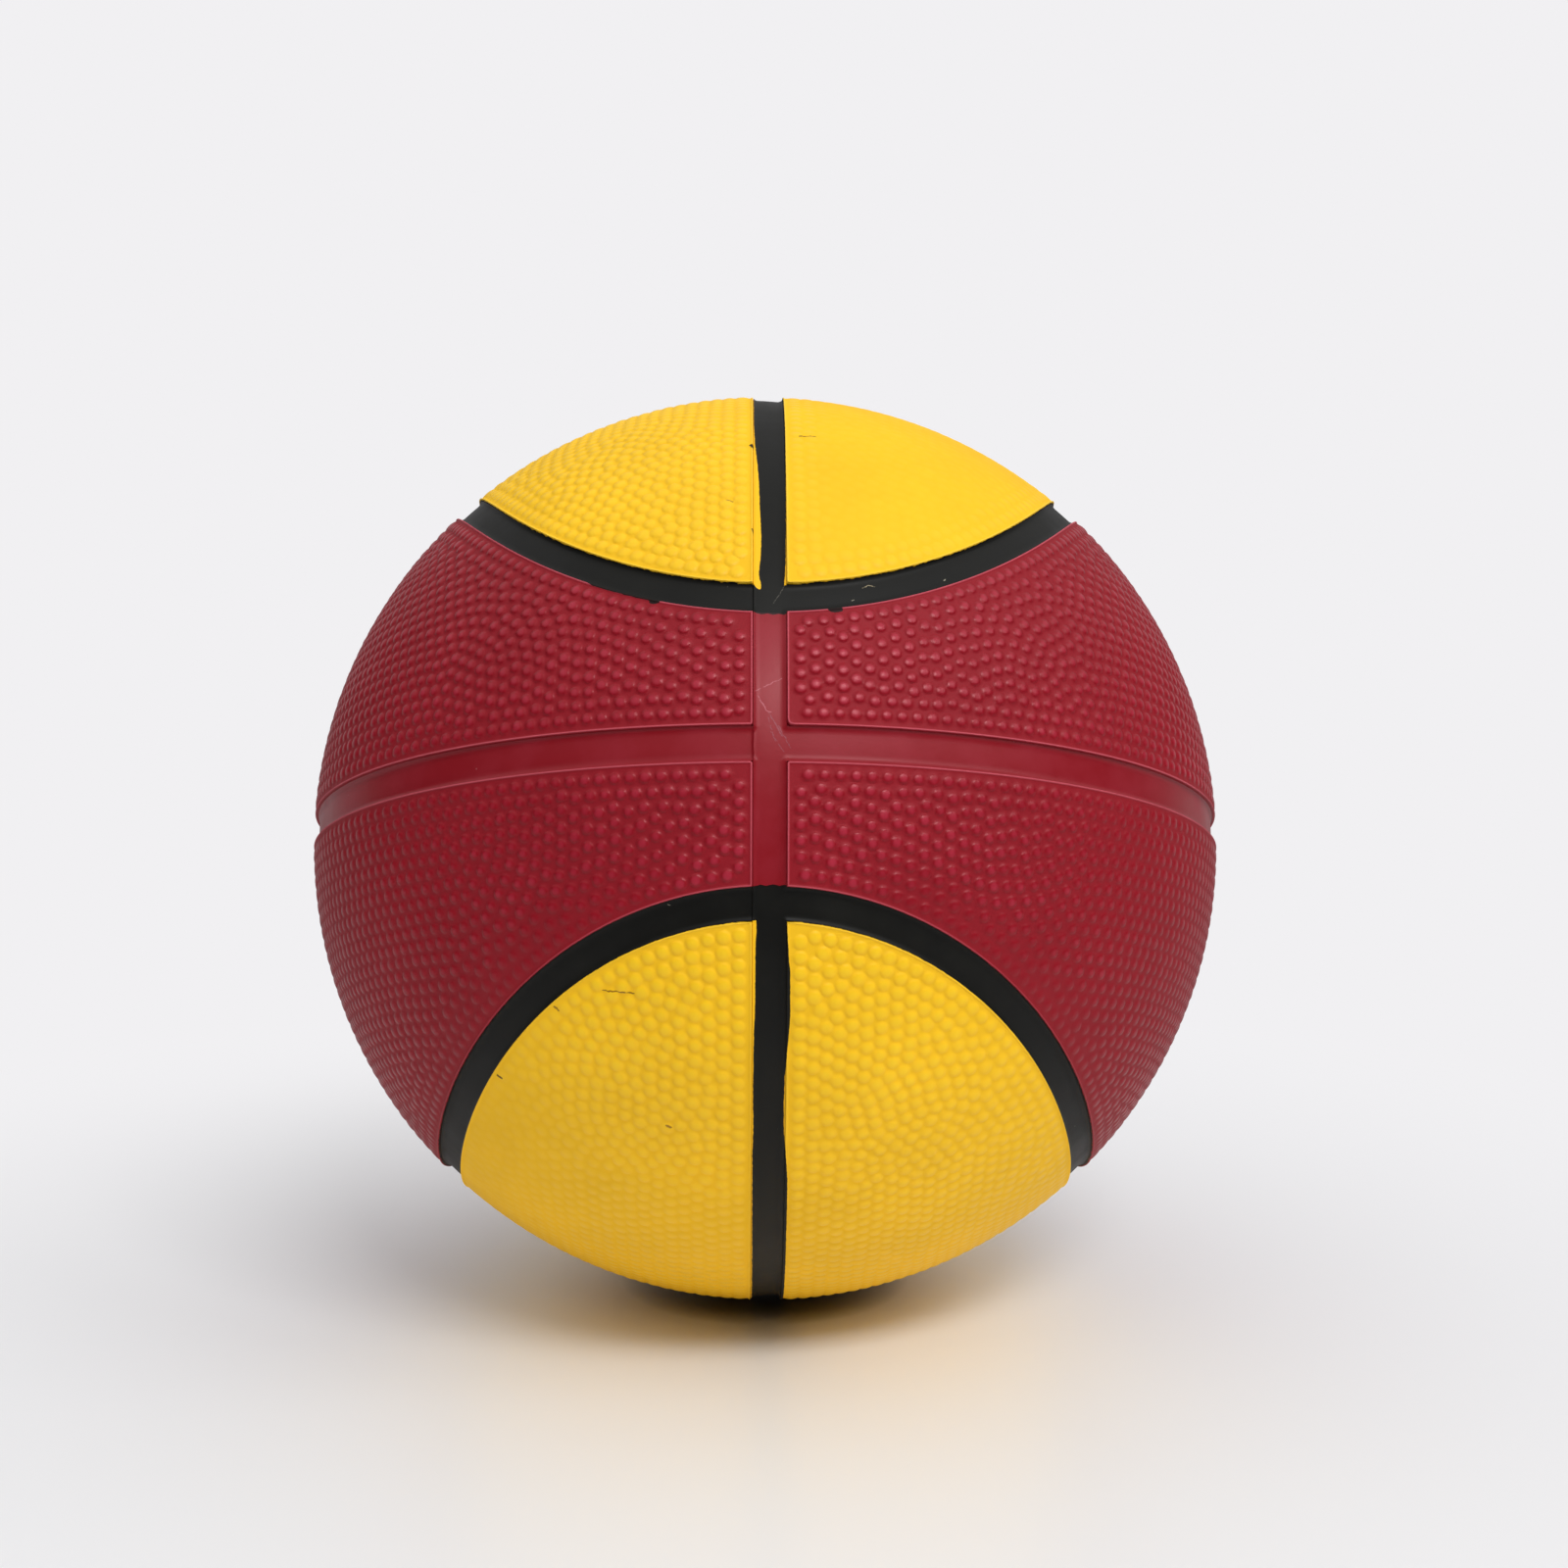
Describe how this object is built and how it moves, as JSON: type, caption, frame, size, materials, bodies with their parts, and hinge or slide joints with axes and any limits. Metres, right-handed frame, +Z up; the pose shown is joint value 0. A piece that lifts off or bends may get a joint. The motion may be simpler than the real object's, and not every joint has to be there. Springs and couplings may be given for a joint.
{
  "type": "basketball",
  "caption": "Small rubber basketball with raised pebbled panels, sunk channels, an inner bladder and a needle valve.",
  "frame": {"origin": "centre of the ball", "axes": "+X along the valve, out of the needle port; +Z up, away from the floor the ball lies on; the front of the panel pattern faces -Y, turned up by 20 degrees"},
  "size_m": [0.1778, 0.1778, 0.178],
  "materials": {
    "cover_yellow": "satin",
    "cover_maroon": "satin",
    "strip_black": "satin",
    "strip_maroon": "satin",
    "butyl": "matte",
    "valve_black": "matte",
    "valve_latex": "matte",
    "carcass_rubber": "matte",
    "nylon_thread": "satin"
  },
  "bodies": {
    "root": {"bladder": "butyl", "valve_patch": "butyl", "valve_boot": "valve_black", "valve_core": "valve_latex", "winding": "nylon_thread", "carcass": "carcass_rubber", "crown_panel_left": "cover_yellow", "crown_panel_right": "cover_yellow", "base_panel_left": "cover_yellow", "base_panel_right": "cover_yellow", "upper_side_panel_left": "cover_maroon", "upper_side_panel_right": "cover_maroon", "lower_side_panel_left": "cover_maroon", "lower_side_panel_right": "cover_maroon", "crown_loop_strip": "strip_black", "base_loop_strip": "strip_black", "crown_strip": "strip_black", "base_strip": "strip_black", "front_upper_strip": "strip_maroon", "front_lower_strip": "strip_maroon", "back_upper_strip": "strip_maroon", "back_lower_strip": "strip_maroon", "level_strip_front": "strip_maroon", "level_strip_back": "strip_maroon"}
  },
  "joints": []
}
